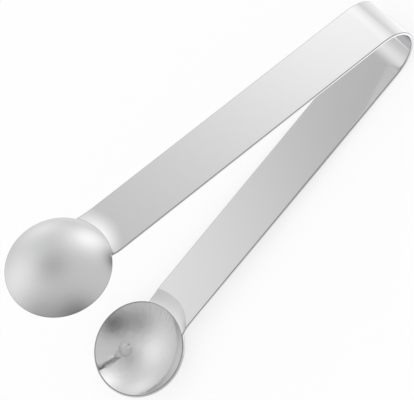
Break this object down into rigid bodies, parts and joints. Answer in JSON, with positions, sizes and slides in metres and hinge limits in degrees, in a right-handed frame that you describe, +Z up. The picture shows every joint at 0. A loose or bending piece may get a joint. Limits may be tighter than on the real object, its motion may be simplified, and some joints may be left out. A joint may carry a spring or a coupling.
{
  "type": "sugar tongs",
  "caption": "Spring sugar tongs: one bent steel strip whose straight arms end in shallow round cups.",
  "frame": {"origin": "on the table, under the middle of the tongs as they lie on the back of the lower arm", "axes": "+X from the spring bow towards the cups, +Y across the strip's width, +Z up from the table"},
  "size_m": [0.1152, 0.0244, 0.0724],
  "materials": {
    "stainless_steel": "polished"
  },
  "bodies": {
    "bow": {"spring_bow": "stainless_steel"},
    "upper_arm": {"upper_arm": "stainless_steel", "upper_cup": "stainless_steel"},
    "lower_arm": {"lower_arm": "stainless_steel", "lower_cup": "stainless_steel"}
  },
  "joints": [
    {"name": "upper_arm_flex", "type": "hinge", "parent": "bow", "child": "upper_arm", "pos_m": [-0.05258, 0, 0.0182], "axis": [0, 1, 0], "range_deg": [-3, 18.4], "stiffness_Nm_per_rad": 2.2, "deforming": ["spring_bow"]},
    {"name": "lower_arm_flex", "type": "hinge", "parent": "bow", "child": "lower_arm", "pos_m": [-0.04714, 0, 0.00041], "axis": [0, -1, 0], "range_deg": [-3, 18.4], "stiffness_Nm_per_rad": 2.2, "deforming": ["spring_bow"]}
  ]
}
